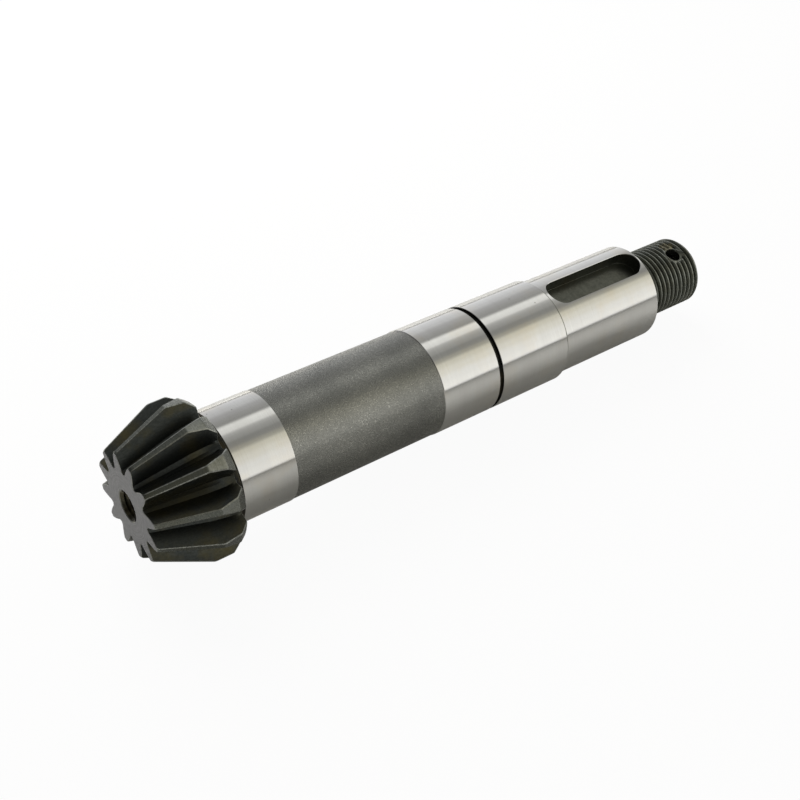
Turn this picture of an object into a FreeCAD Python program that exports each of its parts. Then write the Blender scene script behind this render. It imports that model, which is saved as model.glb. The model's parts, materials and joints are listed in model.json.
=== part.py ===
import FreeCAD, Part
import math
import os

import Sketcher

# Pinion shaft, turned, ground and cut from one piece of steel. Its own X axis runs from the toe face of the
# bevel pinion to the threaded end. Z is up and -Y is the side that the keyway leans to. Millimetres.

doc = FreeCAD.newDocument("PinionShaft")

# Driving dimensions

SIZES = [
    ("tooth_count", 12, "teeth of the pinion"),
    ("apex_distance", 37.5, "from the toe face forward to the point that all teeth taper to"),
    ("toe_tip_radius", 16.7, "tooth tips at the toe face"),
    ("crown_radius", 24.2, "turned band around the tooth tips"),
    ("crown_width", 5.3, "turned band around the tooth tips"),
    ("back_cone_width", 2.75, "short cone behind the crown, along the shaft"),
    ("back_cone_drop", 2.1, "how far that cone falls before the flat heel of the teeth"),
    ("collar_length", 1.16, "collar between the heel of the teeth and the bearing seat"),
    ("shoulder_radius", 19.1, "collar, whose rim is the bearing shoulder"),
    ("space_floor_height", 11.25, "root of a tooth space, in the plane of the toe face"),
    ("root_apex_distance", 35.0, "from the toe face forward to the point that all roots taper to"),
    ("flank_foot_height", 11.75, "where the flank leaves the rounded root, in that plane"),
    ("flank_foot_half", 0.85, "half the tooth space there"),
    ("space_overrun", 0.9, "how far the cutter's section reaches past the tooth tips"),
    ("space_mouth_half", 4.98, "half the cutter's section at its wide end"),
    ("flank_arc_radius", 15.15, "curve of the flanks, in the plane of the toe face"),
    ("cutter_lead", 2.0, "how far the cutter starts before the toe and runs out past the shoulder"),
    ("seat_radius", 17.5, "ground seats"),
    ("relief_width", 1.1, "grinding relief beside the bearing shoulder"),
    ("relief_depth", 0.3, "depth of the grinding relief"),
    ("front_seat_length", 18.95, "front bearing seat, with its relief"),
    ("middle_length", 53.6, "dark middle length"),
    ("middle_clearance", 0.2, "how far the middle lies under the seats"),
    ("rear_seat_length", 21.9, "rear bearing seat up to the ring groove"),
    ("ring_groove_width", 1.6, "retaining ring groove"),
    ("ring_groove_radius", 16.5, "floor of the retaining ring groove"),
    ("land_length", 27.7, "ground length behind the ring groove"),
    ("hub_radius", 16.35, "keyed hub seat"),
    ("hub_length", 42.9, "keyed hub seat"),
    ("edge_break", 0.5, "chamfer on the edges of the seats"),
    ("keyway_width", 10.0, "keyway with round ends"),
    ("keyway_length", 40.0, "overall length of the keyway"),
    ("keyway_depth", 5.0, "from the crown of the hub seat to the keyway floor"),
    ("keyway_gap", 1.9, "from the step to the keyway"),
    ("keyway_angle", 15.0, "keyway, leaning from up towards -Y"),
    ("undercut_radius", 10.5, "thread undercut"),
    ("undercut_length", 4.5, "thread undercut"),
    ("thread_radius", 11.85, "crests of the nut thread"),
    ("thread_length", 21.8, "nut thread, with its end chamfer"),
    ("thread_chamfer", 1.6, "chamfer of the threaded end"),
    ("pin_hole_radius", 2.6, "split pin hole"),
    ("pin_hole_setback", 7.8, "from the threaded end to the split pin hole"),
    ("pin_hole_angle", 20.0, "split pin hole, leaning from up towards -Y"),
    ("tapped_hole_radius", 4.25, "core of the tapped hole in the toe face"),
    ("tapped_hole_depth", 24.0, "full depth of that core"),
    ("tapped_hole_mouth", 4.9, "countersunk mouth of that hole"),
    ("centre_hole_radius", 2.0, "pilot of the turning centre in the threaded end"),
    ("centre_hole_depth", 9.0, "depth of that pilot"),
    ("centre_hole_mouth", 4.2, "mouth of that turning centre"),
    ("countersink_angle", 60.0, "included angle of both countersinks"),
    ("drill_point_angle", 118.0, "point left by the drills"),
]

sheet = doc.addObject("Spreadsheet::Sheet", "Sizes")
for row, (alias, value, note) in enumerate(SIZES, start=1):
    sheet.set(f"A{row}", note)
    sheet.set(f"B{row}", str(value))
    sheet.setAlias(f"B{row}", alias)
doc.recompute()


def size(alias):
    """The expression that reads one driving dimension."""
    return f"Sizes.{alias}"


# Stations along the axis, each worked out from the lengths before it

TOE = "0"
CROWN_START = f"({size('crown_radius')} / {size('toe_tip_radius')} - 1) * {size('apex_distance')}"
CROWN_END = f"{CROWN_START} + {size('crown_width')}"
HEEL = f"{CROWN_END} + {size('back_cone_width')}"
BACK = f"{HEEL} + {size('collar_length')}"
FRONT_SEAT_END = f"{BACK} + {size('front_seat_length')}"
MIDDLE_END = f"{FRONT_SEAT_END} + {size('middle_length')}"
RING_GROOVE_START = f"{MIDDLE_END} + {size('rear_seat_length')}"
RING_GROOVE_END = f"{RING_GROOVE_START} + {size('ring_groove_width')}"
STEP = f"{RING_GROOVE_END} + {size('land_length')}"
HUB_END = f"{STEP} + {size('hub_length')}"
THREAD_START = f"{HUB_END} + {size('undercut_length')}"
END = f"{THREAD_START} + {size('thread_length')}"
EDGE = size("edge_break")


def origin_feature(body, role):
    """One of the body's own origin planes or axes."""
    return next(item for item in body.Origin.OriginFeatures if item.Role == role)


def sketch_on(body, name, role):
    """A sketch attached to one of the body's own origin planes."""
    sketch = body.newObject("Sketcher::SketchObject", name)
    sketch.AttachmentSupport = [(origin_feature(body, role), "")]
    sketch.MapMode = "FlatFace"
    return sketch


def bind(sketch, index, expression):
    """Bind one dimension of a sketch to an expression."""
    sketch.setExpression(f"Constraints[{index}]", expression)


def place_point(sketch, geometry, corner, across, up):
    """Bind the place of a sketch point, measured from the sketch's origin."""
    for kind, expression in (("DistanceX", across), ("DistanceY", up)):
        value = sheet.evalExpression(expression)
        bind(sketch, sketch.addConstraint(Sketcher.Constraint(kind, -1, 1, geometry, corner, value)), expression)


def close_polygon(sketch, corners):
    """A closed outline of straight lines through corners given as (station, radius) expressions."""
    points = [FreeCAD.Vector(*(sheet.evalExpression(text) for text in corner), 0) for corner in corners]
    count = len(points)
    for index in range(count):
        sketch.addGeometry(Part.LineSegment(points[index], points[(index + 1) % count]))
    for index in range(count):
        sketch.addConstraint(Sketcher.Constraint("Coincident", index, 2, (index + 1) % count, 1))
        place_point(sketch, index, 1, *corners[index])


def turned(body, kind, name, corners):
    """Revolve a closed outline about the shaft's axis, to add or to cut.

    The outline lies on the -Y side, so no seam of a turned face meets the keyway or a tooth space.
    """
    sketch = sketch_on(body, f"{name}Outline", "XY_Plane")
    sketch.AttachmentOffset = FreeCAD.Placement(FreeCAD.Vector(), FreeCAD.Rotation(FreeCAD.Vector(1, 0, 0), 180))
    close_polygon(sketch, corners)
    feature = body.newObject(f"PartDesign::{kind}", name)
    feature.Profile = sketch
    feature.ReferenceAxis = (sketch, ["H_Axis"])
    feature.Angle = 360
    doc.recompute()
    return feature


def add_turned_blank(body):
    """The pinion's blank cone and every step of the shaft, as they leave the lathe and the grinder."""
    middle_radius = f"{size('seat_radius')} - {size('middle_clearance')}"
    turned(body, "Revolution", "TurnedBlank", [
        (TOE, "0"),
        (TOE, size("toe_tip_radius")),
        (CROWN_START, size("crown_radius")),
        (CROWN_END, size("crown_radius")),
        (HEEL, f"{size('crown_radius')} - {size('back_cone_drop')}"),
        (HEEL, size("shoulder_radius")),
        (BACK, size("shoulder_radius")),
        (BACK, size("seat_radius")),
        (f"{FRONT_SEAT_END} - {size('middle_clearance')}", size("seat_radius")),
        (FRONT_SEAT_END, middle_radius),
        (MIDDLE_END, middle_radius),
        (f"{MIDDLE_END} + {size('middle_clearance')}", size("seat_radius")),
        (f"{STEP} - {EDGE}", size("seat_radius")),
        (STEP, f"{size('seat_radius')} - {EDGE}"),
        (STEP, size("hub_radius")),
        (f"{HUB_END} - {EDGE}", size("hub_radius")),
        (HUB_END, f"{size('hub_radius')} - {EDGE}"),
        (HUB_END, size("undercut_radius")),
        (f"{THREAD_START} - ({size('thread_radius')} - {size('undercut_radius')})", size("undercut_radius")),
        (THREAD_START, size("thread_radius")),
        (f"{END} - {size('thread_chamfer')}", size("thread_radius")),
        (END, f"{size('thread_radius')} - {size('thread_chamfer')}"),
        (END, "0"),
    ])


def cut_ring(body, name, start, end, floor):
    """A square groove around the shaft, cut from outside the seats."""
    outside = f"{size('seat_radius')} + {EDGE}"
    turned(body, "Groove", name, [(start, floor), (start, outside), (end, outside), (end, floor)])


def tooth_space_section(body, name, station):
    """The cutter's section at one station, scaled by its distance from the apex of the teeth."""
    scale = f"(({size('apex_distance')} + {station}) / {size('apex_distance')})"
    foot = (f"{size('flank_foot_half')} * {scale}", f"{size('flank_foot_height')} * {scale}")
    mouth = (f"{size('space_mouth_half')} * {scale}",
             f"({size('toe_tip_radius')} + {size('space_overrun')}) * {scale}")
    floor = (f"{size('space_floor_height')} * "
             f"(({size('root_apex_distance')} + {station}) / {size('root_apex_distance')})")
    rise = f"({foot[1]} - {floor})"
    root_radius = f"(({foot[0]})^2 + {rise}^2) / (2 * {rise})"
    root_centre = f"{floor} + {root_radius}"
    flank_radius = f"{size('flank_arc_radius')} * {scale}"

    foot_x, foot_y, mouth_x, mouth_y, root_r, root_y, flank_r = (
        sheet.evalExpression(text) for text in (*foot, *mouth, root_radius, root_centre, flank_radius))
    half_chord = math.hypot(mouth_x - foot_x, mouth_y - foot_y) / 2
    offset = math.sqrt(flank_r ** 2 - half_chord ** 2)
    centre_x = (foot_x + mouth_x) / 2 + (mouth_y - foot_y) / (2 * half_chord) * offset
    centre_y = (foot_y + mouth_y) / 2 - (mouth_x - foot_x) / (2 * half_chord) * offset

    def arc(x, y, radius, from_x, from_y, to_x, to_y):
        """The arc from one point counter-clockwise to another about a centre."""
        circle = Part.Circle(FreeCAD.Vector(x, y, 0), FreeCAD.Vector(0, 0, 1), radius)
        start = math.atan2(from_y - y, from_x - x)
        end = math.atan2(to_y - y, to_x - x)
        return Part.ArcOfCircle(circle, start, end if end > start else end + 2 * math.pi)

    sketch = sketch_on(body, name, "YZ_Plane")
    sketch.setExpression(".AttachmentOffset.Base.z", station)
    root = sketch.addGeometry(arc(0, root_y, root_r, -foot_x, foot_y, foot_x, foot_y))
    right = sketch.addGeometry(arc(centre_x, centre_y, flank_r, mouth_x, mouth_y, foot_x, foot_y))
    left = sketch.addGeometry(arc(-centre_x, centre_y, flank_r, -foot_x, foot_y, -mouth_x, mouth_y))
    top = sketch.addGeometry(Part.LineSegment(FreeCAD.Vector(mouth_x, mouth_y, 0),
                                              FreeCAD.Vector(-mouth_x, mouth_y, 0)))
    sketch.addConstraint([
        Sketcher.Constraint("Coincident", root, 2, right, 2),
        Sketcher.Constraint("Coincident", root, 1, left, 1),
        Sketcher.Constraint("Coincident", right, 1, top, 1),
        Sketcher.Constraint("Coincident", left, 2, top, 2),
        Sketcher.Constraint("Symmetric", root, 1, root, 2, -2),
        Sketcher.Constraint("Symmetric", top, 1, top, 2, -2),
        Sketcher.Constraint("PointOnObject", root, 3, -2),
        Sketcher.Constraint("Equal", right, left),
    ])
    place_point(sketch, root, 2, *foot)
    place_point(sketch, top, 1, *mouth)
    bind(sketch, sketch.addConstraint(Sketcher.Constraint("Radius", root, root_r)), root_radius)
    bind(sketch, sketch.addConstraint(Sketcher.Constraint("Radius", right, flank_r)), flank_radius)
    return sketch


def cut_teeth(body):
    """Cut one tapered tooth space from toe to heel, then repeat it around the pinion."""
    toe_section = tooth_space_section(body, "SpaceAtToe", f"-{size('cutter_lead')}")
    heel_section = tooth_space_section(body, "SpaceAtHeel", f"{BACK} + {size('cutter_lead')}")
    space = body.newObject("PartDesign::SubtractiveLoft", "ToothSpace")
    space.Profile = toe_section
    space.Sections = [heel_section]
    space.Ruled = True
    doc.recompute()
    teeth = body.newObject("PartDesign::PolarPattern", "Teeth")
    teeth.Originals = [space]
    teeth.Axis = (origin_feature(body, "X_Axis"), [""])
    teeth.Angle = 360
    teeth.setExpression("Occurrences", size("tooth_count"))
    body.Tip = teeth
    doc.recompute()


def lean_from_up(sketch, angle, reach):
    """Stand a sketch's plane off the axis, with its normal leaning from up towards -Y."""
    sketch.AttachmentOffset = FreeCAD.Placement(FreeCAD.Vector(), FreeCAD.Rotation(FreeCAD.Vector(1, 0, 0), 1))
    sketch.setExpression(".AttachmentOffset.Rotation.Angle", angle)
    sketch.setExpression(".AttachmentOffset.Base.y", f"-{reach} * sin({angle})")
    sketch.setExpression(".AttachmentOffset.Base.z", f"{reach} * cos({angle})")


def cut_keyway(body):
    """Mill the round-ended keyway down from the crown of the hub seat."""
    sketch = sketch_on(body, "KeywayOutline", "XY_Plane")
    lean_from_up(sketch, size("keyway_angle"), size("hub_radius"))
    radius = f"{size('keyway_width')} / 2"
    first = f"{STEP} + {size('keyway_gap')} + {radius}"
    last = f"{STEP} + {size('keyway_gap')} + {size('keyway_length')} - {radius}"
    near, far, half = (sheet.evalExpression(text) for text in (first, last, radius))
    normal = FreeCAD.Vector(0, 0, 1)
    near_end = sketch.addGeometry(Part.ArcOfCircle(
        Part.Circle(FreeCAD.Vector(near, 0, 0), normal, half), math.pi / 2, 3 * math.pi / 2))
    far_end = sketch.addGeometry(Part.ArcOfCircle(
        Part.Circle(FreeCAD.Vector(far, 0, 0), normal, half), -math.pi / 2, math.pi / 2))
    lower = sketch.addGeometry(Part.LineSegment(FreeCAD.Vector(near, -half, 0), FreeCAD.Vector(far, -half, 0)))
    upper = sketch.addGeometry(Part.LineSegment(FreeCAD.Vector(far, half, 0), FreeCAD.Vector(near, half, 0)))
    sketch.addConstraint([
        Sketcher.Constraint("Tangent", near_end, 2, lower, 1),
        Sketcher.Constraint("Tangent", lower, 2, far_end, 1),
        Sketcher.Constraint("Tangent", far_end, 2, upper, 1),
        Sketcher.Constraint("Tangent", upper, 2, near_end, 1),
        Sketcher.Constraint("PointOnObject", near_end, 3, -1),
        Sketcher.Constraint("PointOnObject", far_end, 3, -1),
        Sketcher.Constraint("Equal", near_end, far_end),
    ])
    bind(sketch, sketch.addConstraint(Sketcher.Constraint("Radius", near_end, half)), radius)
    bind(sketch, sketch.addConstraint(Sketcher.Constraint("DistanceX", -1, 1, near_end, 3, near)), first)
    bind(sketch, sketch.addConstraint(Sketcher.Constraint("DistanceX", -1, 1, far_end, 3, far)), last)
    pocket = body.newObject("PartDesign::Pocket", "Keyway")
    pocket.Profile = sketch
    pocket.setExpression("Length", size("keyway_depth"))
    doc.recompute()


def round_sketch(body, name, role, radius, across=None):
    """A sketch with one circle, on the sketch's origin or a distance along its first axis."""
    sketch = sketch_on(body, name, role)
    place = sheet.evalExpression(across) if across else 0
    value = sheet.evalExpression(radius)
    circle = sketch.addGeometry(Part.Circle(FreeCAD.Vector(place, 0, 0), FreeCAD.Vector(0, 0, 1), value))
    if across:
        sketch.addConstraint(Sketcher.Constraint("PointOnObject", circle, 3, -1))
        bind(sketch, sketch.addConstraint(Sketcher.Constraint("DistanceX", -1, 1, circle, 3, place)), across)
    else:
        sketch.addConstraint(Sketcher.Constraint("Coincident", circle, 3, -1, 1))
    bind(sketch, sketch.addConstraint(Sketcher.Constraint("Radius", circle, value)), radius)
    return sketch


def cut_pin_hole(body):
    """Drill the split pin hole right through the thread."""
    sketch = round_sketch(body, "PinHoleOutline", "XY_Plane", size("pin_hole_radius"),
                          f"{END} - {size('pin_hole_setback')}")
    lean_from_up(sketch, size("pin_hole_angle"), "0")
    pocket = body.newObject("PartDesign::Pocket", "PinHole")
    pocket.Profile = sketch
    pocket.Type = "ThroughAll"
    pocket.Midplane = True
    doc.recompute()


def drill_end(body, name, station, inward, radius, depth, mouth):
    """A countersunk hole with a drill point, on the axis, from one end of the shaft."""
    sketch = round_sketch(body, f"{name}Outline", "YZ_Plane", radius)
    sketch.setExpression(".AttachmentOffset.Base.z", station)
    doc.recompute()
    hole = body.newObject("PartDesign::Hole", name)
    hole.Profile = sketch
    doc.recompute()
    hole.DepthType = "Dimension"
    hole.DrillPoint = "Angled"
    hole.HoleCutType = "Countersink"
    hole.HoleCutCustomValues = True
    hole.Reversed = inward
    hole.setExpression("Diameter", f"2 * {radius}")
    hole.setExpression("Depth", depth)
    hole.setExpression("DrillPointAngle", size("drill_point_angle"))
    hole.setExpression("HoleCutDiameter", f"2 * {mouth}")
    hole.setExpression("HoleCutCountersinkAngle", size("countersink_angle"))
    doc.recompute()


def lay_down(body):
    """Lay the shaft on a flat surface: two teeth at one end, the first rim that touches at the other."""
    corners = [vertex.Point for vertex in body.Shape.Vertexes]
    heel = min((point for point in corners if point.x < sheet.evalExpression(BACK)), key=lambda point: point.z)
    rims = [(f"{STEP} - {EDGE}", size("seat_radius")), (f"{HUB_END} - {EDGE}", size("hub_radius")),
            (f"{END} - {size('thread_chamfer')}", size("thread_radius"))]
    tilt = min(math.atan2(-heel.z - sheet.evalExpression(radius), sheet.evalExpression(station) - heel.x)
               for station, radius in rims)
    turn = FreeCAD.Rotation(FreeCAD.Vector(0, 1, 0), math.degrees(tilt))
    body.Placement = FreeCAD.Placement(FreeCAD.Vector(), turn)
    doc.recompute()
    box = body.Shape.optimalBoundingBox(False, False)
    contact = turn.multVec(heel)
    body.Placement = FreeCAD.Placement(FreeCAD.Vector(-box.Center.x, -box.Center.y, -contact.z), turn)
    doc.recompute()


def make_pinion_shaft():
    """The whole shaft as one body."""
    body = doc.addObject("PartDesign::Body", "PinionShaft")
    body.Label = "pinion_shaft"
    body.AllowCompound = False
    add_turned_blank(body)
    cut_ring(body, "GrindingRelief", BACK, f"{BACK} + {size('relief_width')}",
             f"{size('seat_radius')} - {size('relief_depth')}")
    cut_ring(body, "RingGroove", RING_GROOVE_START, RING_GROOVE_END, size("ring_groove_radius"))
    cut_teeth(body)
    cut_keyway(body)
    cut_pin_hole(body)
    drill_end(body, "TappedHole", TOE, True, size("tapped_hole_radius"), size("tapped_hole_depth"),
              size("tapped_hole_mouth"))
    drill_end(body, "TurningCentre", END, False, size("centre_hole_radius"), size("centre_hole_depth"),
              size("centre_hole_mouth"))
    lay_down(body)
    return body


shaft = make_pinion_shaft()

for item in doc.Objects:
    if "Invalid" in item.State or "Error" in item.State:
        raise RuntimeError(f"{item.Name} did not build: {item.State}")
if shaft.Shape.isNull() or not shaft.Shape.isValid() or len(shaft.Shape.Solids) != 1:
    raise RuntimeError("The shaft is not one valid solid")

os.makedirs("parts", exist_ok=True)
shaft.Shape.exportStep(f"parts/{shaft.Label}.step")
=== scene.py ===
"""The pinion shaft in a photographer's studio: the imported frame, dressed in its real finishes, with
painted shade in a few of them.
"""

import json
import logging
import math
from collections.abc import Callable, Sequence
from dataclasses import dataclass, field
from enum import IntEnum
from typing import NamedTuple

import bmesh
import bpy
import numpy as np
from mathutils import Matrix, Vector


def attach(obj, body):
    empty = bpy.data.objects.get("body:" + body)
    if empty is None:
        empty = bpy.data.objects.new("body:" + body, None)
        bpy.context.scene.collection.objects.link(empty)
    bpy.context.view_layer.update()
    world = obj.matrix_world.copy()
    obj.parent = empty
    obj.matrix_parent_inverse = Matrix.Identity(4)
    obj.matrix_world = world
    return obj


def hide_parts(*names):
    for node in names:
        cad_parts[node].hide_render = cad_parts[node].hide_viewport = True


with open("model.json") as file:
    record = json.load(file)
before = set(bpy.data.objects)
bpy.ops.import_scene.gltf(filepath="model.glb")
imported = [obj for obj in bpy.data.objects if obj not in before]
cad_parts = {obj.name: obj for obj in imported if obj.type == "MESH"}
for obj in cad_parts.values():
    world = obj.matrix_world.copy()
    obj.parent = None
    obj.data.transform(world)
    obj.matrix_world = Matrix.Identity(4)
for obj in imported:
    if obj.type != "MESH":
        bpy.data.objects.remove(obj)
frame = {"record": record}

log = logging.getLogger("pinion_shaft")

MM = 0.001

Tree = bpy.types.NodeTree
Socket = bpy.types.NodeSocket
Pair = tuple[float, float]
Triple = tuple[float, float, float]


class Surface(IntEnum):
    """The surfaces of the shaft, named as in the palette, in the order of the mesh's material slots."""

    GROUND = 0
    HARDENED = 1
    FLANK = 2
    CROWN = 3
    TOE = 4
    THREAD = 5
    KEYWAY_FLOOR = 6
    KEYWAY_WALL = 7
    GROOVE = 8
    BORE = 9
    END = 10
    COLLAR = 11
    RUBBED = 12
    BRUISED = 13
    LAND = 14
    ROOT = 15


# ---- small helpers


def linear(code: str) -> tuple[float, float, float, float]:
    """Turn an sRGB hex colour into the linear colour that a shader takes.

    Args:
        code: Colour as #RRGGBB.

    Returns:
        Red, green, blue and an alpha of one, linear.
    """
    parts = [int(code[i:i + 2], 16) / 255 for i in (1, 3, 5)]
    values = [c / 12.92 if c <= 0.04045 else ((c + 0.055) / 1.055) ** 2.4 for c in parts]
    return (values[0], values[1], values[2], 1.0)


def unit(value: float) -> float:
    """Hold a value between nought and one."""
    return min(max(value, 0.0), 1.0)


def cone_length(drop: float, half_angle: float) -> float:
    """Length over which a cone of that half angle, in degrees, loses so much radius."""
    return drop / math.tan(math.radians(half_angle))


def put(name: str, data: bpy.types.ID) -> bpy.types.Object:
    """Put a mesh, a lamp or a camera into the scene.

    Args:
        name: Name of the object.
        data: What the object holds.

    Returns:
        The object.
    """
    made = bpy.data.objects.new(name, data)
    bpy.context.scene.collection.objects.link(made)
    return made


def blank(owner: bpy.types.Material | bpy.types.World) -> Tree:
    """Empty a tree of nodes.

    Args:
        owner: The material or the world whose tree it is.

    Returns:
        The tree.
    """
    owner.use_nodes = True
    owner.node_tree.nodes.clear()
    return owner.node_tree


def add(tree: Tree, kind: str, inputs: dict | None = None, **settings: object) -> bpy.types.Node:
    """Add one node to a tree, with its settings, values and links.

    Args:
        tree: Tree that gets the node.
        kind: Node type's identifier.
        inputs: Values or output sockets by the name or number of the input they go to.
        **settings: Properties of the node itself.

    Returns:
        The new node.
    """
    node = tree.nodes.new(kind)
    for name, value in settings.items():
        setattr(node, name, value)
    for key, value in (inputs or {}).items():
        if isinstance(value, Socket):
            tree.links.new(value, node.inputs[key])
        else:
            node.inputs[key].default_value = value
    return node


def maths(tree: Tree, operation: str, *values: Socket | float, **settings: object) -> Socket:
    """Result of one sum on sockets and numbers."""
    made = add(tree, "ShaderNodeMath", dict(enumerate(values)), operation=operation, **settings)
    return made.outputs[0]


def stretched(tree: Tree, vector: Socket, scale: Triple) -> Socket:
    """A vector with each of its parts multiplied."""
    return add(tree, "ShaderNodeVectorMath", {0: vector, 1: scale}, operation="MULTIPLY").outputs[0]


def noise(tree: Tree, vector: Socket, scale: float, detail: float = 2.0,
          roughness: float = 0.5) -> Socket:
    """Value of a noise at each place."""
    return add(tree, "ShaderNodeTexNoise", {"Vector": vector, "Scale": scale, "Detail": detail,
                                            "Roughness": roughness}).outputs[0]


def cells(tree: Tree, vector: Socket, size: float) -> tuple[Socket, Socket]:
    """Fill space with cells.

    Args:
        tree: Tree that gets the nodes.
        vector: Place.
        size: Size of a cell.

    Returns:
        A random number for each cell, and the distance from the cell's middle.
    """
    made = add(tree, "ShaderNodeTexVoronoi", {"Vector": vector, "Scale": 1 / size}).outputs
    return add(tree, "ShaderNodeSeparateColor", {0: made["Color"]}).outputs[0], made["Distance"]


def ranged(tree: Tree, value: Socket, span: Pair, low: float | Socket = 0.0,
           high: float | Socket = 1.0) -> Socket:
    """Turn a span of values into the span from low to high, held at both ends."""
    return add(tree, "ShaderNodeMapRange", {"Value": value, "From Min": span[0], "From Max": span[1],
                                            "To Min": low, "To Max": high}).outputs[0]


def mixed(tree: Tree, factor: Socket, first: Socket | Sequence[float], second: Sequence[float]) -> Socket:
    """Mix two colours."""
    return add(tree, "ShaderNodeMix", {"Factor": factor, "A": first, "B": second},
               data_type="RGBA").outputs["Result"]


# ---- the skin of the shaft


@dataclass
class Skin:
    """One closed skin, grown ring by ring from the bottom of the tapped hole to the turning centre.

    A point is given by its station along the axis, its radius, and its angle from the shaft's own up
    towards its -Y side. All three are in millimetres and degrees until the mesh is made.
    """

    columns: int = 240
    weld: float = 0.004
    sliver: float = 0.001
    points: list[Triple] = field(default_factory=list)
    faces: list[tuple[int, ...]] = field(default_factory=list)
    surfaces: list[int] = field(default_factory=list)
    edge: list[int] = field(default_factory=list)

    def even_angles(self) -> np.ndarray:
        """Angles of a ring whose points are evenly spread, in degrees."""
        return np.arange(self.columns) * 360.0 / self.columns

    def reached(self) -> Pair:
        """Station and radius of the last ring's first point."""
        x, y, z = self.points[self.edge[0]]
        return x, math.hypot(y, z)

    def _place(self, station: float, radius: float, angle: float) -> int:
        """Add one point.

        Args:
            station: Place along the axis.
            radius: Distance from the axis.
            angle: Angle round the axis.

        Returns:
            The point's number.
        """
        turn = math.radians(angle)
        self.points.append((station, -radius * math.sin(turn), radius * math.cos(turn)))
        return len(self.points) - 1

    def _face(self, corners: Sequence[int], surface: Surface) -> None:
        """Add one face with the surface that it belongs to."""
        self.faces.append(tuple(corners))
        self.surfaces.append(int(surface))

    def _join(self, new: list[int], kinds: Sequence[Surface]) -> None:
        """Lay a band of faces from the last ring to a new one.

        Args:
            new: Numbers of the new ring's points.
            kinds: Surface of each face.
        """
        last = self.edge
        for j in range(self.columns):
            k = (j + 1) % self.columns
            foot = (last[j], last[k]) if len(last) > 1 else (last[0],)
            self._face((*foot, new[k], new[j]), kinds[j])
        self.edge = new

    def pole(self, station: float, surface: Surface) -> None:
        """Start the skin at a point on the axis, or close it there.

        Args:
            station: Place of the point on the axis.
            surface: Surface of the cone that ends in it.
        """
        tip = self._place(station, 0.0, 0.0)
        last = self.edge
        for j in range(len(last)):
            self._face((last[j], last[(j + 1) % len(last)], tip), surface)
        self.edge = [tip]

    def ring(self, station: float, radius: float | np.ndarray, surface: Surface | Sequence[Surface],
             angles: np.ndarray | None = None) -> None:
        """Add a ring and join it to the one before.

        Args:
            station: Place of the ring along the axis.
            radius: Radius of the whole ring, or of each of its points.
            surface: Surface of the band between the two rings, or of each face in it.
            angles: Angle of each point, or none for an even ring.
        """
        turns = self.even_angles() if angles is None else angles
        radii = np.broadcast_to(radius, (self.columns,))
        new = [self._place(station, float(r), float(a)) for r, a in zip(radii, turns)]
        self._join(new, [surface] * self.columns if isinstance(surface, Surface) else surface)

    def rings(self, surface: Surface, *places: Pair) -> None:
        """Add even rings of one surface, each at its own station and radius."""
        for station, radius in places:
            self.ring(station, radius, surface)

    def cylinder(self, end: float, surface: Surface, spacing: float = 4.0) -> None:
        """Grow a cylinder in short lengths, so that its shading stays even.

        Args:
            end: Station where it ends.
            surface: Its surface.
            spacing: Length between two rings.
        """
        begin, radius = self.reached()
        for station in np.linspace(begin, end, max(1, round((end - begin) / spacing)) + 1)[1:]:
            self.ring(float(station), radius, surface)

    def helix(self, start: float, end: float, pitch: float, profile: Sequence[float],
              radius_at: Callable[[Triple], float], surface_at: Callable[[Triple], Surface]) -> None:
        """Add a threaded length, whose rows follow the thread round the axis.

        Args:
            start: Station where the threaded length starts, at the skin's last ring.
            end: Station where it ends, before or after the start.
            pitch: Advance of the thread in one turn.
            profile: Corners of the thread's profile as shares of one pitch, from its root.
            radius_at: Gives the radius from station, place along the pitch, and angle.
            surface_at: Gives the surface from station, radius and angle.
        """
        sign = 1 if end > start else -1
        first = start - pitch if sign > 0 else start
        low, high = min(start, end), max(start, end)
        corners = [pitch * part for part in profile]
        angles = self.even_angles()
        rows = []
        for i in range((math.ceil(abs(end - start) / pitch) + 2) * len(corners) + 1):
            turn, corner = divmod(i, len(corners))
            row = []
            for angle in angles:
                climb = pitch * angle / 360.0
                place = min(max(first + sign * (turn * pitch + corners[corner]) + climb, low), high)
                lead = (place - first - climb) * sign
                row.append(self._place(place, radius_at((place, lead % pitch, angle)), angle))
            rows.append(row)
        self._weave(rows, sign * len(corners), surface_at)
        self._join(rows[0], [surface_at((start, 0.0, angle)) for angle in angles])
        self.edge = rows[-1]

    def _weave(self, rows: list[list[int]], turn: int, surface_at: Callable[[Triple], Surface]) -> None:
        """Lay faces between the rows of a helix, whose ends meet one turn further on.

        Args:
            rows: Numbers of the points, row by row.
            turn: Rows in one turn, negative where the helix runs towards the toe.
            surface_at: Gives the surface from station, radius and angle.
        """
        angles = self.even_angles()
        for i in range(len(rows) - 1):
            for j in range(self.columns):
                beside, k = (i, j + 1) if j + 1 < self.columns else (i + turn, 0)
                if not 0 <= beside < len(rows) - 1:
                    continue
                x, y, z = self.points[rows[i][j]]
                self._face((rows[i][j], rows[beside][k], rows[beside + 1][k], rows[i + 1][j]),
                           surface_at((x, math.hypot(y, z), angles[j])))

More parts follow.
